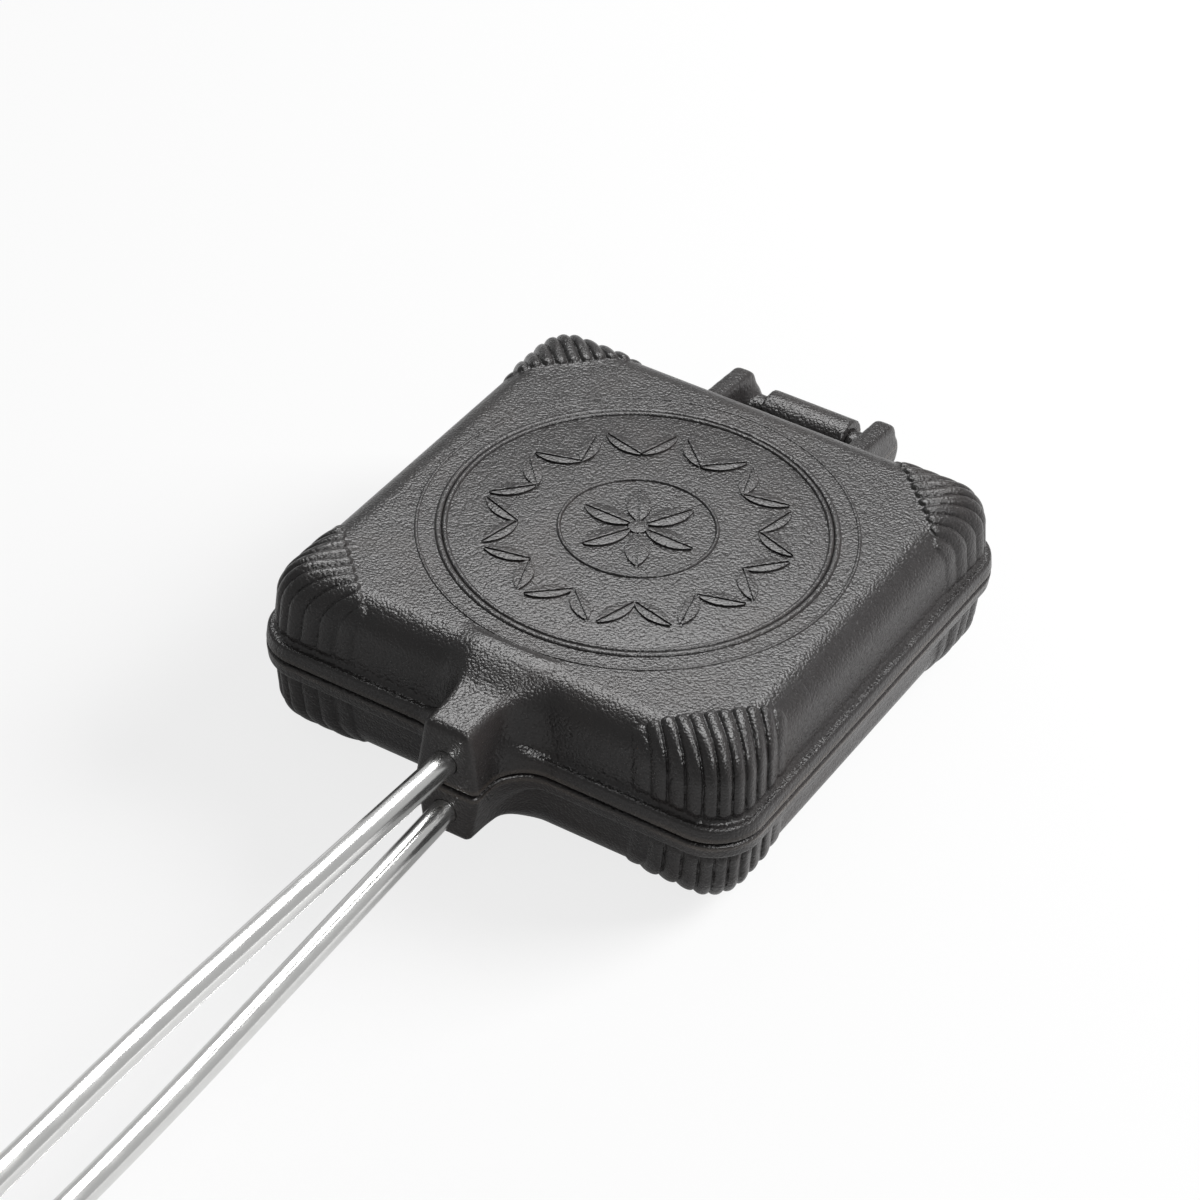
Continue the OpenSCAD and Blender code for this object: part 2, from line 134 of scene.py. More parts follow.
class StageSizes(bpy.types.PropertyGroup):
    """Camera, floor and lights."""

    camera_place: FloatVectorProperty(name="Camera", description="Place of the camera",
                                      subtype="TRANSLATION", default=(0.366185, -0.635027, 0.609181))
    camera_turn: FloatVectorProperty(
        name="Aim", description="Azimuth, elevation and roll of the camera's line of sight",
        subtype="EULER",
        default=(math.radians(30.6255), math.radians(38.7235), math.radians(2.2934)))
    lens: FloatProperty(name="Lens", description="Focal length in millimetres", default=116.33)
    white: FloatProperty(name="Background", description="Share of plain white in the seen floor",
                         default=0.8, min=0, max=1)
    seen_white: FloatProperty(name="Floor in gloss", min=0, max=1, default=0.25,
                              description="Share of plain white in the floor that gloss and glass show")
    seen_sky: FloatProperty(name="Sky in gloss", min=0, max=1, default=0.35,
                            description="Share of plain white in the sky that gloss and glass show")
    sky: FloatProperty(name="Sky", description="Strength of the even light from all round", default=0.26)


# ---- small modelling tools ----

def pick(piece):
    """Leaves only this piece selected and active."""
    if bpy.context.object and bpy.context.object.mode != "OBJECT":
        bpy.ops.object.mode_set(mode="OBJECT")
    bpy.ops.object.select_all(action="DESELECT")
    piece.select_set(True)
    bpy.context.view_layer.objects.active = piece


def edit(piece):
    """Opens the piece's mesh with all of it selected."""
    pick(piece)
    bpy.ops.object.mode_set(mode="EDIT")
    bpy.ops.mesh.select_all(action="SELECT")


def leave_edit():
    bpy.ops.object.mode_set(mode="OBJECT")


def apply_modifier(piece, kind, **settings):
    """Adds a modifier with these settings and applies it."""
    pick(piece)
    modifier = piece.modifiers.new(kind.title(), kind)
    for name, value in settings.items():
        setattr(modifier, name, value)
    bpy.ops.object.modifier_apply(modifier=modifier.name)


def clean(piece, smooth_angle=35):
    """Merges doubles, turns the faces outwards and smooths all but the sharp edges."""
    edit(piece)
    bpy.ops.mesh.remove_doubles(threshold=MERGE)
    bpy.ops.mesh.normals_make_consistent(inside=False)
    leave_edit()
    bpy.ops.object.shade_smooth_by_angle(angle=math.radians(smooth_angle))
    return piece


def join(pieces, name):
    """Joins the pieces into the first one."""
    pick(pieces[0])
    for piece in pieces:
        piece.select_set(True)
    bpy.ops.object.join()
    pieces[0].name = pieces[0].data.name = name
    return pieces[0]


def chain(name, points):
    """A new piece of one chain of edges through the points."""
    mesh = bpy.data.meshes.new(name)
    mesh.from_pydata(points, [(i, i + 1) for i in range(len(points) - 1)], [])
    piece = bpy.data.objects.new(name, mesh)
    bpy.context.scene.collection.objects.link(piece)
    return piece


def lathe(name, profile, axis_z, steps=72):
    """Turns a profile of (distance behind the head's centre, radius), in millimetres, round a rod."""
    piece = chain(name, [(0, -along * MM, axis_z + radius * MM) for along, radius in profile])
    edit(piece)
    bpy.ops.mesh.spin(steps=steps, angle=2 * math.pi, center=(0, 0, axis_z), axis=(0, 1, 0))
    leave_edit()
    return clean(piece)


def arc(centre, radius, start, end, steps):
    """Points of an arc in a profile, angles in degrees."""
    angles = [math.radians(start + (end - start) * i / steps) for i in range(steps + 1)]
    return [(centre[0] + radius * math.cos(a), centre[1] + radius * math.sin(a)) for a in angles]


def copy_of(node, name):
    """A piece with a merged copy of a frame node's mesh, without the node's own corner normals."""
    piece = bpy.data.objects.new(name, frame["nodes"][node].data.copy())
    bpy.context.scene.collection.objects.link(piece)
    piece.data.name = name
    piece.data.materials.clear()
    pick(piece)
    bpy.ops.mesh.customdata_custom_splitnormals_clear()
    edit(piece)
    bpy.ops.mesh.remove_doubles(threshold=MERGE)
    leave_edit()
    return piece


def settle(piece, body, slot, *nodes):
    """The piece rides on its body and stands for the nodes. The slot is not used."""
    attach(piece, body)
    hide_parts(*nodes)


def dress(node, name, body, material, slot, bevel=0.3 * MM):
    """A machined piece: the node's shape with its sharp edges broken."""
    piece = copy_of(node, name)
    edit(piece)
    bpy.ops.mesh.dissolve_limited(angle_limit=math.radians(1))
    leave_edit()
    apply_modifier(piece, "BEVEL", width=bevel, segments=2, limit_method="ANGLE",
                   angle_limit=math.radians(40), use_clamp_overlap=True)
    clean(piece)
    piece.data.materials.append(material)
    settle(piece, body, slot, node)


# ---- materials ----

class Link:
    """A node's output, with the usual signs for sums on single values."""

    def __init__(self, tree, socket):
        self.tree = tree
        self.socket = socket

    def _math(self, kind, a, b):
        return self.tree.node("ShaderNodeMath", {"operation": kind}, {0: a, 1: b})

    def __add__(self, other):
        return self._math("ADD", self, other)

    __radd__ = __add__

    def __sub__(self, other):
        return self._math("SUBTRACT", self, other)

    def __rsub__(self, other):
        return self._math("SUBTRACT", other, self)

    def __mul__(self, other):
        return self._math("MULTIPLY", self, other)

    __rmul__ = __mul__


class Tree:
    """One material's or the world's nodes."""

    def __init__(self, owner):
        owner.use_nodes = True
        self.nodes = owner.node_tree.nodes
        self.links = owner.node_tree.links
        self.nodes.clear()

    def node(self, kind, settings=None, inputs=None, output=0):
        """Makes a node with its settings first and then the values or links of its sockets."""
        made = self.nodes.new(kind)
        for name, value in (settings or {}).items():
            setattr(made, name, value)
        for name, value in (inputs or {}).items():
            if isinstance(value, Link):
                self.links.new(value.socket, made.inputs[name])
            else:
                made.inputs[name].default_value = value
        return Link(self, made.outputs[output]) if len(made.outputs) else made

    def place(self, stretch=(1, 1, 1)):
        """Object coordinates in millimetres, stretched."""
        at = self.node("ShaderNodeTexCoord", output="Object")
        return self.node("ShaderNodeVectorMath", {"operation": "MULTIPLY"},
                         {0: at, 1: tuple(s / MM for s in stretch)})

    def noise(self, size, detail=2.0, stretch=(1, 1, 1)):
        """Noise with features of about this size in millimetres."""
        return self.node("ShaderNodeTexNoise", None,
                         {"Vector": self.place(stretch), "Scale": 1 / size, "Detail": detail})

    def ramp(self, value, low, high, to_low=0.0, to_high=1.0):
        """Smooth step of a value from one range to another."""
        return self.node("ShaderNodeMapRange", {"interpolation_type": "SMOOTHSTEP"},
                         {"Value": value, "From Min": low, "From Max": high, "To Min": to_low,
                          "To Max": to_high})

    def mix(self, share, a, b):
        """Mixes two colours."""
        return self.node("ShaderNodeMix", {"data_type": "RGBA"},
                         {0: share, 6: rgba(a), 7: rgba(b)}, output=2)

    def bump(self, height, depth, strength=1.0):
        """Bump of this depth in metres."""
        return self.node("ShaderNodeBump", None,
                         {"Height": height, "Distance": depth, "Strength": strength})

    def surface(self, **sockets):
        """Principled surface to the output; underscores in the names stand for blanks."""
        named = {name.replace("_", " "): value for name, value in sockets.items()}
        shader = self.node("ShaderNodeBsdfPrincipled", None, named)
        self.node("ShaderNodeOutputMaterial", None, {"Surface": shader})


def rgba(colour):
    """A colour with its alpha, where it is numbers and not a link."""
    return colour if isinstance(colour, Link) else (*colour, 1)


def new_material(name):
    material = bpy.data.materials.new(name)
    return material, Tree(material)


def iron_material():
    """Seasoned sand-cast iron: fine grain, satin oil film, brown where it is rubbed."""
    sizes = bpy.context.scene.pie_iron_casting
    material, tree = new_material("seasoned_iron")
    pebble_size = 0.7
    pebbles = tree.node("ShaderNodeTexVoronoi", None,
                        {"Vector": tree.place(), "Scale": 1 / pebble_size})
    grain = tree.noise(0.6, detail=1.5) - pebbles * pebbles
    lumps = tree.noise(2.2)
    swell = tree.noise(7)
    patches = tree.noise(24, detail=3)
    height = tree.node("ShaderNodeSeparateXYZ", None, {0: tree.place()}, output=2)
    from_rim = tree.node("ShaderNodeMath", {"operation": "ABSOLUTE"}, {0: height - RIM_Z / MM})
    # The bands are rubbed in a stripe from 0.5 to 2.2 mm off the rim plane
    rubbed = tree.ramp(from_rim, 2.2, 1.4) * tree.ramp(from_rim, 0.5, 1.0)
    rubbed = rubbed * tree.ramp(patches, 0.35, 0.65, 0.35, 1)
    stained = [c * f for c, f in zip(sizes.iron, (1.3, 1.12, 1.0))]
    colour = tree.mix(tree.ramp(patches, 0.45, 0.75) * 0.4, sizes.iron, stained)
    colour = tree.mix(rubbed * 0.6, colour, sizes.bare)
    tree.surface(
        Base_Color=colour,
        Specular_IOR_Level=0.3,
        Roughness=tree.ramp(lumps * 0.5 + patches * 0.5, 0.3, 0.7, 0.25, 0.34) - rubbed * 0.04,
        Normal=tree.bump(grain + lumps * 0.5 + swell, 0.12 * MM),
    )
    return material


def steel_material(name, colour, rough, scratch):
    """Bright steel with fine marks along the handle, this deep in metres, and dull spots."""
    material, tree = new_material(name)
    marks = tree.noise(0.18, stretch=(1, 0.02, 1))
    spots = tree.noise(9, detail=3)
    tree.surface(
        Base_Color=tree.mix(tree.ramp(spots, 0.4, 0.8) * 0.25, colour, [c * 0.82 for c in colour]),
        Metallic=1.0,
        Roughness=tree.ramp(spots, 0.3, 0.7, rough, rough + 0.07),
        Normal=tree.bump(marks, scratch, 0.4),
    )
    return material


def wood_material():
    """Oiled wood, its grain running along the grip."""
    sizes = bpy.context.scene.pie_iron_handle
    material, tree = new_material("oiled_wood")
    wander = tree.noise(14, stretch=(1, 0.12, 1))
    rings = tree.node("ShaderNodeTexWave", {"wave_type": "BANDS", "bands_direction": "X"},
                      {"Vector": tree.place((1, 0.03, 0.35)), "Scale": 0.16, "Distortion": 5.0,
                       "Detail": 2.0, "Detail Scale": 0.5}, output=1)
    pores = tree.noise(0.35, detail=1, stretch=(1, 0.06, 1))
    dark = tree.ramp(rings * 0.7 + wander * 0.5, 0.35, 0.95)
    fleck = tree.ramp(pores, 0.60, 0.72)
    colour = tree.mix(dark * 0.75, sizes.wood, sizes.wood_dark)
    colour = tree.mix(fleck * 0.55, colour, [c * 0.5 for c in sizes.wood_dark])
    tree.surface(
        Base_Color=colour,
        Roughness=tree.ramp(wander, 0.3, 0.7, 0.34, 0.46) + fleck * 0.15,
        Normal=tree.bump(1 - fleck * 0.6 + rings * 0.2, 0.05 * MM, 0.5),
    )
    return material


# ---- the cast form; lengths in millimetres, z is the height above a plate's own rim plane ----

# Side wall and rim band: half width, radius of the corners in plan, height, radius of the soft top
# edge, and how far the wall leans in
WALL = {"half": 64.9, "corner": 10.8, "height": 22.0, "edge": 9.0, "lean": 1.2}
BAND = {"half": 67.5, "corner": 13.2, "height": 4.4, "edge": 1.0, "lean": 0.4}
# Radius of the hollow between band and wall
LEDGE_BLEND = 1.3
# Handle socket: distance of its front from the head's centre, half width at the rim, lean of its
# sides and rise of its top per millimetre, length, radii of its upright and its top edges, and how
# much its root widens, from so far behind the front
SOCKET = {"front": 82.5, "half": 8.6, "lean": 2.4 / 17.4, "rise": 1.8 / 20.2, "length": 24.0,
          "corner": 1.8, "nose": 2.2, "flare": 3.5, "flare_from": 5.0}
SOCKET_HEIGHT = {"lower": 14.6, "upper": 17.4}
# Radius of the hollow between socket and wall, low down and high up, and the heights between
# which it changes
SOCKET_BLEND = {"low": 9.0, "high": 7.0, "from": 8.0, "to": 18.0}
# Corner ribs: number, pitch, half width, height over the wall, distance of their upper ends from
# the centre along the diagonal, and the heights over which their feet rise
RIBS = {"count": 11, "pitch": 3.3, "half": 1.6, "tall": 1.15, "tip": 69.0, "foot": (4.6, 7.0)}
# Chamfer of the rim's edge, where the two plates meet: depth, height and how hollow it is
PARTING = {"deep": 1.5, "tall": 0.75, "hollow": 1.3}
# Stretch of the back edge that keeps the frame's shape, for the hinge: half width, front and fade
HINGE_ZONE = {"half": 26.0, "front": 62.0, "fade": 4.0}
# Hinge ears: where they start, how far from the middle, and the passes that soften them
EARS = {"front": 67.0, "inner": 16.0, "passes": 60}
# Points of the skin that are drawn out to the form: how far they may be from it and fade, how
# squarely they have to face it, and how far above the rim they start
DRAWN_OUT = {"reach": 4.0, "fade": 1.0, "facing": (0.2, 0.45), "above": (0.2, 0.9)}


def ramp(value, low, high):
    """0 up to low, 1 from high on, and even between them."""
    return np.clip((value - low) / (high - low), 0, 1)


def round_union(a, b, radius):
    """Distance from two joined forms with a hollow blend of this radius between them."""
    corner = np.hypot(np.maximum(radius - a, 0), np.maximum(radius - b, 0))
    return np.maximum(radius, np.minimum(a, b)) - corner


def round_intersection(a, b, radius):
    """Distance from what two forms share, its edge rounded by this radius."""
    corner = np.hypot(np.maximum(radius + a, 0), np.maximum(radius + b, 0))
    return np.minimum(-radius, np.maximum(a, b)) + corner


def pad_distance(x, y, z, half, corner, height, edge, lean):
    """Distance from a square pad with round corners, leaning walls and a soft top edge."""
    past_x = np.abs(x) - (half - corner)
    past_y = np.abs(y) - (half - corner)
    away = np.hypot(np.maximum(past_x, 0), np.maximum(past_y, 0))
    away = away + np.minimum(np.maximum(past_x, past_y), 0)
    slope = lean / (height - edge)
    side = (away - corner + slope * z) / math.hypot(1, slope)
    above = z - (height - edge)
    soft = np.hypot(np.maximum(away - (corner - lean - edge), 0), above) - edge
    return np.where(above > 0, soft, side)


def socket_distance(x, y, z, height):
    """Distance from the handle socket: leaning sides, sloping top, rounded front."""
    behind = y + SOCKET["front"]
    flare = SOCKET["flare"] * ramp(behind, SOCKET["flare_from"], SOCKET["length"]) ** 2
    side = np.abs(x) - SOCKET["half"] + SOCKET["lean"] * z - flare
    top = z - height - SOCKET["rise"] * np.minimum(behind, SOCKET["length"])
    shape = round_intersection(round_intersection(side, -behind, SOCKET["corner"]), top, SOCKET["nose"])
    return np.maximum(shape, behind - SOCKET["length"])


def rib_height(x, y, z):
    """Height of the corner ribs over the wall: rounded ridges with narrow grooves between them."""
    along = (np.abs(x) + np.abs(y)) / math.sqrt(2)
    across = (np.abs(y) - np.abs(x)) / math.sqrt(2) / RIBS["pitch"]
    nearest = np.round(across)
    off = (across - nearest) * RIBS["pitch"] / RIBS["half"]
    tip = np.maximum(RIBS["tip"] + RIBS["half"] - along, 0) / RIBS["half"]
    round_over = np.sqrt(np.maximum(1 - off ** 2 - tip ** 2, 0))
    last = (RIBS["count"] - 1) / 2
    present = ramp(-np.abs(nearest), -last - 1, -last + 1)
    return RIBS["tall"] * round_over * present * ramp(z, *RIBS["foot"])


def cast_form(place, socket_height):
    """Distance of points from the outside of a plate, without its hinge."""
    x, y, z = place.T
    plate = round_union(pad_distance(x, y, z, **WALL), pad_distance(x, y, z, **BAND), LEDGE_BLEND)
    higher = ramp(z, SOCKET_BLEND["from"], SOCKET_BLEND["to"])
    blend = SOCKET_BLEND["low"] + (SOCKET_BLEND["high"] - SOCKET_BLEND["low"]) * higher
    whole = round_union(plate, socket_distance(x, y, z, socket_height), blend)
    parting = PARTING["deep"] * (1 - ramp(z, 0, PARTING["tall"])) ** PARTING["hollow"]
    return whole - rib_height(x, y, z) + parting


def cast_slope(place, socket_height, step=0.03):
    """How the distance from the cast form grows along each axis."""
    rise = [cast_form(place + step * axis, socket_height)
            - cast_form(place - step * axis, socket_height) for axis in np.eye(3)]
    return np.stack(rise, 1) / (2 * step)


def off_hinge(x, y):
    """1 away from the hinge, 0 in its zone."""
    beside = ramp(np.abs(x), HINGE_ZONE["half"], HINGE_ZONE["half"] + HINGE_ZONE["fade"])
    before = ramp(-y, -HINGE_ZONE["front"], HINGE_ZONE["fade"] - HINGE_ZONE["front"])
    return np.maximum(beside, before)


def sculpt(piece, side, socket_height, passes=5, flattest=0.2):
    """Draws the outside of a remeshed plate to its cast form. side is 1 above the rim plane.

    What stands outside the form is drawn in. What lies inside it is drawn out only where it faces
    the form and is near it, so that the cavity keeps its shape.
    """
    count = len(piece.data.vertices)
    flat = np.empty(3 * count)
    facing = np.empty(3 * count, dtype=np.float32)
    turn = np.array((1, 1, side))
    middle = np.array((0, 0, RIM_Z / MM))
    for _ in range(passes):
        piece.data.vertices.foreach_get("co", flat)
        piece.data.vertex_normals.foreach_get("vector", facing)
        place = (flat.reshape(-1, 3) / MM - middle) * turn
        gap = cast_form(place, socket_height)
        slope = cast_slope(place, socket_height)
        steep = np.maximum(np.linalg.norm(slope, axis=1), flattest)
        outward = np.sum(facing.reshape(-1, 3) * turn * slope, axis=1) / steep
        x, y, z = place.T
        near = ramp(gap, -DRAWN_OUT["reach"], DRAWN_OUT["fade"] - DRAWN_OUT["reach"])
        drawn = ramp(outward, *DRAWN_OUT["facing"]) * near * ramp(z, *DRAWN_OUT["above"])
        share = np.where(gap > 0, 1, drawn) * off_hinge(x, y)
        place -= (share * gap / steep ** 2)[:, None] * slope
        if side < 0:  # the lower plate keeps its flat underside
            place[:, 2] = np.minimum(place[:, 2], RIM_Z / MM)
        piece.data.vertices.foreach_set("co", ((place * turn + middle) * MM).ravel())
        piece.data.update()


def soften(piece, name, inside, passes):
    """Smooths the vertices for which inside(place) is true."""
    group = piece.vertex_groups.new(name=name)
    count = len(piece.data.vertices)
    flat = np.empty(3 * count)
    piece.data.vertices.foreach_get("co", flat)
    chosen = np.flatnonzero(inside(flat.reshape(-1, 3) / MM))
    group.add(chosen.tolist(), 1, "REPLACE")
    apply_modifier(piece, "SMOOTH", factor=0.5, iterations=passes, vertex_group=name)
    piece.vertex_groups.clear()


# ---- cast plates ----

def is_ear(at):
    """True for the points of the hinge ears."""
    return (at[:, 1] > EARS["front"]) & (np.abs(at[:, 0]) > EARS["inner"])


def casting(node, name, side, socket_height):
    """A plate as it leaves the sand: remeshed finely and drawn to its cast form."""
    sizes = bpy.context.scene.pie_iron_casting
    piece = copy_of(node, name)
    flatten_pattern(piece)
    cell = sizes.cell
    apply_modifier(piece, "REMESH", mode="VOXEL", voxel_size=cell)
    apply_modifier(piece, "SMOOTH", factor=0.5, iterations=sizes.softness)
    sculpt(piece, side, socket_height)
    apply_modifier(piece, "SMOOTH", factor=0.5, iterations=1)
    soften(piece, "hinge", is_ear, EARS["passes"])
    now = 2 * len(piece.data.polygons)
    apply_modifier(piece, "DECIMATE", ratio=sizes.triangles / now)
    pick(piece)
    bpy.ops.object.shade_smooth()
    return piece


def flatten_pattern(piece):
    """Lets the simple pattern of the frame down to the plate's top, to make room for the fine one."""
    top = 2 * RIM_Z
    for vertex in piece.data.vertices:
        if vertex.co.z > top + 0.05 * MM and vertex.co.xy.length < HEAD_HALF:
            vertex.co.z = top


# Edge line of the disc: half width, height, and how deep the disc is set into the plate
EDGE_LINE = {"half": 0.45, "tall": 0.3, "sunk": 0.4}
# The two beads: their edges as shares of the disc's radius, how far down they start, as a share of
# the disc's step, and the slope inside them
BEADS = {"edges": (0.910, 0.878, 0.852), "foot": 0.4, "slope": 0.3}
# Ring round the rosette, and the button in its middle: its radius, edge and slope
ROSETTE_RING = {"radius": 19.0, "half": 0.55}
BUTTON = {"radius": 2.0, "edge": 0.4, "round": 0.1, "slope": 0.2}
# Leaves and petals: radius of their edges, half width, distance of their middle from the centre
# (the wreath's as a share of the disc's radius), and their turn from the radius in degrees
WREATH = {"arc_r": 9.5, "half_w": 2.3, "away": 0.62, "leans": (40, 140)}
ROSETTE = {"arc_r": 9.0, "half_w": 3.0, "away": 8.6, "lean": 0}
# Either: half width of the midrib, depth in the disc, width and height of the sloping edge, and
# the steps of its outline
LEAF = {"midrib": 0.28, "sunk": 0.15, "edge": 0.22, "crown": 0.06, "steps": 10}


def half_round(middle, half, base, tall, steps):
    """Profile of a raised line, from its outer to its inner foot."""
    angles = [math.pi * i / steps for i in range(steps + 1)]
    return [(middle + half * math.cos(a), base + tall * math.sin(a)) for a in angles]


def disc_profile(ring, step, tall):
    """Profile of the disc from its edge to its middle, as (radius, height over the plate)."""
    line = EDGE_LINE
    profile = [(ring, -line["sunk"])]
    profile += half_round(ring - line["half"], line["half"], 0, line["tall"], 6)[:-1]
    profile += [(ring - 2 * line["half"], step)]
    foot = step * BEADS["foot"]
    edges = [share * ring for share in BEADS["edges"]]
    for outer, inner in zip(edges, edges[1:]):
        profile += half_round((outer + inner) / 2, (outer - inner) / 2, foot, tall - foot, 8)
    profile += [(edges[-1] - BEADS["slope"], step)]
    profile += half_round(ROSETTE_RING["radius"], ROSETTE_RING["half"], step, tall - step, 6)
    button = BUTTON["radius"] + BUTTON["edge"]
    profile += [(button + BUTTON["slope"], step), (button, tall - BUTTON["round"])]
    return profile + [(BUTTON["radius"], tall), (0, tall)]


def pattern_disc(name):
    """Low disc with two beads round it, a wreath of leaves and a rosette."""
    sizes = bpy.context.scene.pie_iron_casting
    top = 2 * RIM_Z / MM
    ring = sizes.ring_r / MM
    step = sizes.disc_step / MM
    tall = sizes.relief / MM
    disc = chain("disc", [(radius * MM, 0, (top + lift) * MM)
                          for radius, lift in disc_profile(ring, step, tall)])
    edit(disc)
    bpy.ops.mesh.spin(steps=180, angle=2 * math.pi, center=(0, 0, 0), axis=(0, 0, 1))
    leave_edit()
    parts = [disc]
    for i in range(sizes.leaves):
        turn = 360 / sizes.leaves * (i + 0.5)
        parts += leaf(WREATH["arc_r"], WREATH["half_w"], WREATH["away"] * ring, turn,
                      WREATH["leans"][i % 2], top + step, tall - step)
    for i in range(sizes.petals):
        turn = 360 / sizes.petals * i
        parts += leaf(ROSETTE["arc_r"], ROSETTE["half_w"], ROSETTE["away"], turn,
                      ROSETTE["lean"], top + step, tall - step)
    return clean(join(parts, name), 50)


def leaf(arc_r, half_w, away, turn, lean, base, tall):
    """Two halves of a leaf with its midrib between them, at a distance and turn from the centre."""
    sunk = LEAF["sunk"]
    drop = arc_r - half_w
    end = math.degrees(math.acos((drop + LEAF["midrib"]) / arc_r))
    edge = arc((0, 0), arc_r, 90 + end, 90 - end, LEAF["steps"])
    halves = []
    for side in (1, -1):
        outline = [(x * MM, side * (y - drop) * MM, (base - sunk) * MM) for x, y in edge]
        mesh = bpy.data.meshes.new("leaf")
        mesh.from_pydata(outline, [], [range(len(outline))])
        half = bpy.data.objects.new("leaf", mesh)
        bpy.context.scene.collection.objects.link(half)
        edit(half)
        bpy.ops.mesh.extrude_region_move(TRANSFORM_OT_translate={"value": (0, 0, (tall + sunk) * MM)})
        bpy.ops.mesh.inset(thickness=LEAF["edge"] * MM, depth=0)
        bpy.ops.transform.translate(value=(0, 0, LEAF["crown"] * MM))
        leave_edit()
        half.data.transform(Matrix.Rotation(math.radians(turn), 4, "Z")
                            @ Matrix.Translation((away * MM, 0, 0))
                            @ Matrix.Rotation(math.radians(lean), 4, "Z"))
        halves.append(half)
    return halves


# ---- handles ----

def rod(name, side):
    """One rod from its grip's end to its root, with a gentle bend. side is 1 above the rim plane."""
    sizes = bpy.context.scene.pie_iron_handle
    z = RIM_Z + side * ROD_SPREAD
    bend_r = sizes.bend_half / math.tan(sizes.tilt / 2)
    bpy.ops.object.select_all(action="DESELECT")
    bpy.ops.mesh.primitive_circle_add(vertices=48, radius=sizes.rod_r, fill_type="NOTHING",
                                      location=(0, ROD_END_Y, z), rotation=(math.pi / 2, 0, 0))
    piece = bpy.context.object
    piece.name = piece.data.name = name
    bpy.ops.object.transform_apply(location=True, rotation=True, scale=True)
    edit(piece)
    bend_start = -sizes.bend_y - sizes.bend_half
    bpy.ops.mesh.extrude_region_move(
        TRANSFORM_OT_translate={"value": (0, bend_start - ROD_END_Y, 0)})
    bpy.ops.mesh.spin(steps=24, angle=side * sizes.tilt, axis=(1, 0, 0),
                      center=(0, bend_start, z - side * bend_r))
    length = (ROD_ROOT_Y + sizes.bend_y) / math.cos(sizes.tilt) - sizes.bend_half
    bpy.ops.mesh.extrude_region_move(TRANSFORM_OT_translate={
        "value": (0, length * math.cos(sizes.tilt), -side * length * math.sin(sizes.tilt))})
    bpy.ops.mesh.select_all(action="DESELECT")
    bpy.ops.mesh.select_non_manifold(use_wire=False, use_multi_face=False,
                                     use_non_contiguous=False, use_verts=False)
    bpy.ops.mesh.edge_face_add()
    leave_edit()
    return clean(piece)


# Grip: length and radius of the spigot in the ferrule, radius at the neck and its chamfer, swell
# over the neck, the part of a half wave that the swell follows, in degrees, and the end's radius
GRIP = {"spigot": 14.0, "spigot_r": 8.0, "neck": 9.4, "chamfer": 0.5, "swell": 2.59, "wave": 150,
        "end_r": 4.0}


def grip_profile(steps=40):
    """Spigot, shoulder, a long swell and a rounded end, from the ferrule to the washer."""
    bore = bpy.context.scene.pie_iron_handle.rod_r / MM
    front = -GRIP_FRONT_Y / MM
    back = -GRIP_BACK_Y / MM
    shoulder = front + GRIP["spigot"]
    end = back - GRIP["end_r"]
    profile = [(front, bore), (front, GRIP["spigot_r"]), (shoulder, GRIP["spigot_r"]),
               (shoulder, GRIP["neck"] - GRIP["chamfer"]), (shoulder + GRIP["chamfer"], GRIP["neck"])]
    for i in range(1, steps + 1):
        wave = math.sin(math.radians(GRIP["wave"] * i / steps))
        profile.append((shoulder + (end - shoulder) * i / steps, GRIP["neck"] + GRIP["swell"] * wave))
    last = profile[-1][1] - GRIP["end_r"]
    return profile + arc((end, last), GRIP["end_r"], 90, 0, 10)[1:] + [(back, bore)]


# ---- operators ----

class PIEIRON_OT_castings(bpy.types.Operator):
    """Both cast plates, the upper one with its pattern"""

    bl_idname = "pie_iron.castings"
    bl_label = "Cast plates"

    def execute(self, context):
        iron = iron_material()
        for body, side in SIDES:
            plate = casting(body + "_plate", body + "_casting", side, SOCKET_HEIGHT[body])
            plate.data.materials.append(iron)
            settle(plate, body, "cast_iron", body + "_plate")
        pattern = pattern_disc("pattern")
        pattern.data.materials.append(iron)
        settle(pattern, "upper", "cast_iron", "upper_plate")
        return {"FINISHED"}


class PIEIRON_OT_rods(bpy.types.Operator):
    """Both handle rods"""

    bl_idname = "pie_iron.rods"
    bl_label = "Handle rods"

    def execute(self, context):
        sizes = context.scene.pie_iron_handle
        steel = steel_material("drawn_steel", sizes.steel, 0.16, 0.0015 * MM)
        for body, side in SIDES:
            piece = rod(body + "_handle_rod", side)
            piece.data.materials.append(steel)
            settle(piece, body, "rod_steel", body + "_rod")
        return {"FINISHED"}


class PIEIRON_OT_grips(bpy.types.Operator):
    """Both turned wooden grips"""

    bl_idname = "pie_iron.grips"
    bl_label = "Wooden grips"

    def execute(self, context):
        wood = wood_material()
        for body, side in SIDES:
            piece = lathe(body + "_wooden_grip", grip_profile(), RIM_Z + side * ROD_SPREAD)
            piece.data.materials.append(wood)
            settle(piece, body, "grip_wood", body + "_grip")
        return {"FINISHED"}


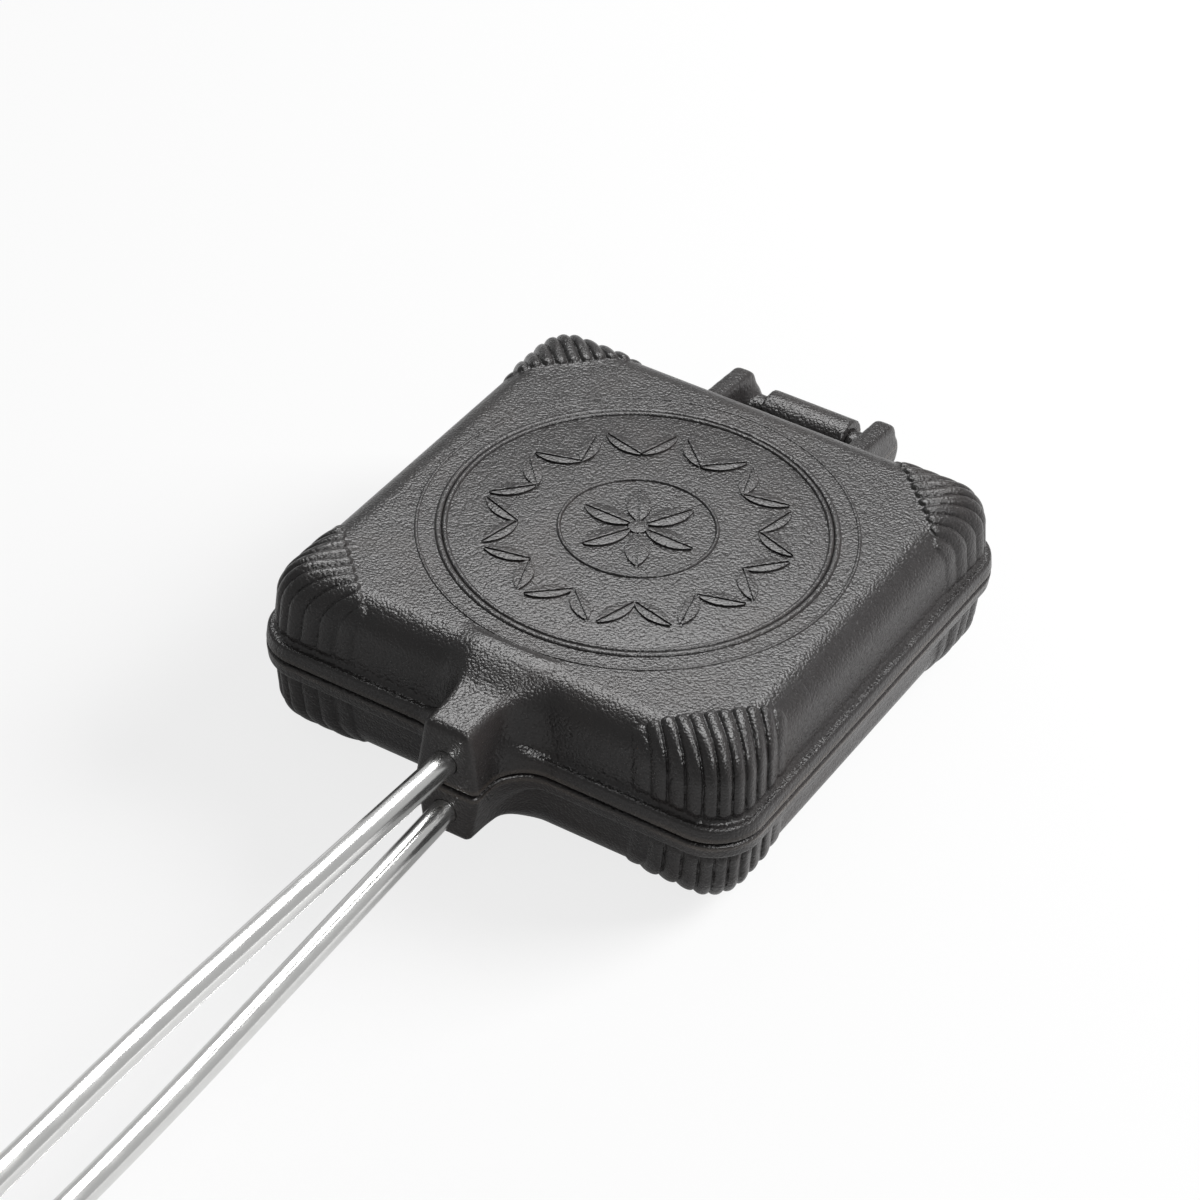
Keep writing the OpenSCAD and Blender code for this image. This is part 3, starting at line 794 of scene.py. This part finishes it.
class PIEIRON_OT_fittings(bpy.types.Operator):
    """Ferrules, washers, nut, eye, hanging ring, stop ring and latch"""

    bl_idname = "pie_iron.fittings"
    bl_label = "Steel fittings"

    def execute(self, context):
        sizes = context.scene.pie_iron_handle
        turned = steel_material("turned_steel", [c * 0.9 for c in sizes.steel], 0.24, 0.01 * MM)
        for body, _ in SIDES:
            dress(body + "_ferrule", body + "_collar", body, turned, "ferrule_steel", 0.35 * MM)
            dress(body + "_washer", body + "_end_washer", body, turned, "fitting_steel")
        dress("cap_nut", "domed_nut", "lower", turned, "fitting_steel", 0.4 * MM)
        dress("hanging_eye", "eye_nut", "upper", turned, "fitting_steel", 0.4 * MM)
        dress("hanging_ring", "wire_ring", "ring", turned, "fitting_steel")
        dress("latch_stop", "stop_ring", "lower", turned, "fitting_steel")
        dress("latch_hook", "latch", "latch", turned, "fitting_steel", 0.35 * MM)
        return {"FINISHED"}


# Softboxes: name, place, size, power, and the kind of light that they don't give
SOFTBOXES = (
    ("back_softbox", (-0.176, 0.296, 0.67), (0.6, 0.4), 10.5, "diffuse"),
    ("corner_softbox", (0.65, -0.17, 1.15), (0.7, 0.5), 18.0, "diffuse"),
    ("side_softbox", (1.05, 1.15, 0.95), (1.0, 1.0), 60.0, "glossy"),
)
WHITE = (1, 1, 1, 1)
FLOOR_GREY = (0.82, 0.82, 0.82, 1)
FLOOR_SIZE = 12


class PIEIRON_OT_stage(bpy.types.Operator):
    """Camera at the photograph's place, white floor and soft studio light"""

    bl_idname = "pie_iron.stage"
    bl_label = "Stage"

    def execute(self, context):
        sizes = context.scene.pie_iron_stage
        camera = bpy.data.objects.new("camera", bpy.data.cameras.new("camera"))
        context.scene.collection.objects.link(camera)
        azimuth, elevation, roll = sizes.camera_turn
        aim = Euler((math.pi / 2 - elevation, 0, azimuth)).to_matrix() @ Matrix.Rotation(roll, 3, "Z")
        camera.matrix_world = Matrix.Translation(sizes.camera_place) @ aim.to_4x4()
        camera.data.lens = sizes.lens
        context.scene.camera = camera
        self.floor(sizes)
        self.sky(context.scene, sizes)
        for softbox in SOFTBOXES:
            self.softbox(*softbox)
        context.scene.view_settings.view_transform = "Standard"
        return {"FINISHED"}

    @staticmethod
    def seen(tree):
        """1 for rays from the camera, in reflections and through glass."""
        path = tree.node("ShaderNodeLightPath")
        rays = path.socket.node.outputs
        return [Link(tree, rays[name])
                for name in ("Is Camera Ray", "Is Glossy Ray", "Is Transmission Ray")]

    def floor(self, sizes):
        """A pale floor that the camera sees nearly white, with the object's shadow kept."""
        bpy.ops.object.select_all(action="DESELECT")
        bpy.ops.mesh.primitive_plane_add(size=FLOOR_SIZE, location=(0, 0, FLOOR_Z))
        floor = bpy.context.object
        floor.name = "floor"
        material, tree = new_material("white_floor")
        camera, glossy, transmission = self.seen(tree)
        lit = tree.node("ShaderNodeBsdfDiffuse", None, {"Color": FLOOR_GREY})
        white = tree.node("ShaderNodeEmission", None, {"Color": WHITE, "Strength": 1.0})
        share = camera * sizes.white + (glossy + transmission) * sizes.seen_white
        mixed = tree.node("ShaderNodeMixShader", None, {0: share, 1: lit, 2: white})
        tree.node("ShaderNodeOutputMaterial", None, {"Surface": mixed})
        floor.data.materials.append(material)

    def sky(self, scene, sizes):
        """Even light, plain white where it is seen."""
        scene.world = bpy.data.worlds.new("studio")
        tree = Tree(scene.world)
        camera, glossy, transmission = self.seen(tree)
        even = tree.node("ShaderNodeBackground", None, {"Color": WHITE, "Strength": sizes.sky})
        white = tree.node("ShaderNodeBackground", None, {"Color": WHITE, "Strength": 1.0})
        mixed = tree.node("ShaderNodeMixShader", None,
                          {0: camera + (glossy + transmission) * sizes.seen_sky, 1: even, 2: white})
        tree.node("ShaderNodeOutputWorld", None, {"Surface": mixed})

    def softbox(self, name, place, size, power, without):
        """A soft light of this size aimed at the head, without its diffuse or its glossy light."""
        lamp = bpy.data.lights.new(name, "AREA")
        lamp.shape = "RECTANGLE"
        lamp.size, lamp.size_y = size
        lamp.energy = power
        box = bpy.data.objects.new(name, lamp)
        bpy.context.scene.collection.objects.link(box)
        box.location = place
        box.rotation_euler = (-Vector(place)).to_track_quat("-Z", "Y").to_euler()
        setattr(box, "visible_" + without, False)


class PIEIRON_PT_panel(bpy.types.Panel):
    """Sizes and colours of the pie iron, and a button for each group of pieces"""

    bl_label = "Pie Iron"
    bl_idname = "PIEIRON_PT_panel"
    bl_space_type = "VIEW_3D"
    bl_region_type = "UI"
    bl_category = "Pie Iron"

    def draw(self, context):
        for group in GROUPS:
            box = self.layout.box()
            for name in group.__annotations__:
                box.prop(getattr(context.scene, SCENE_NAMES[group]), name)
        for operator in OPERATORS:
            self.layout.operator(operator.bl_idname)


GROUPS = (CastingSizes, HandleSizes, StageSizes)
SCENE_NAMES = {CastingSizes: "pie_iron_casting", HandleSizes: "pie_iron_handle",
               StageSizes: "pie_iron_stage"}
OPERATORS = (PIEIRON_OT_castings, PIEIRON_OT_rods, PIEIRON_OT_grips, PIEIRON_OT_fittings,
             PIEIRON_OT_stage)


def register():
    for cls in GROUPS + OPERATORS + (PIEIRON_PT_panel,):
        bpy.utils.register_class(cls)
    for group, name in SCENE_NAMES.items():
        setattr(bpy.types.Scene, name, PointerProperty(type=group))


def unregister():
    for name in SCENE_NAMES.values():
        delattr(bpy.types.Scene, name)
    for cls in reversed(GROUPS + OPERATORS + (PIEIRON_PT_panel,)):
        bpy.utils.unregister_class(cls)


def main():
    """Makes every piece in order."""
    register()
    bpy.ops.pie_iron.castings()
    bpy.ops.pie_iron.rods()
    bpy.ops.pie_iron.grips()
    bpy.ops.pie_iron.fittings()
    bpy.ops.pie_iron.stage()


if __name__ == "__main__":
    main()
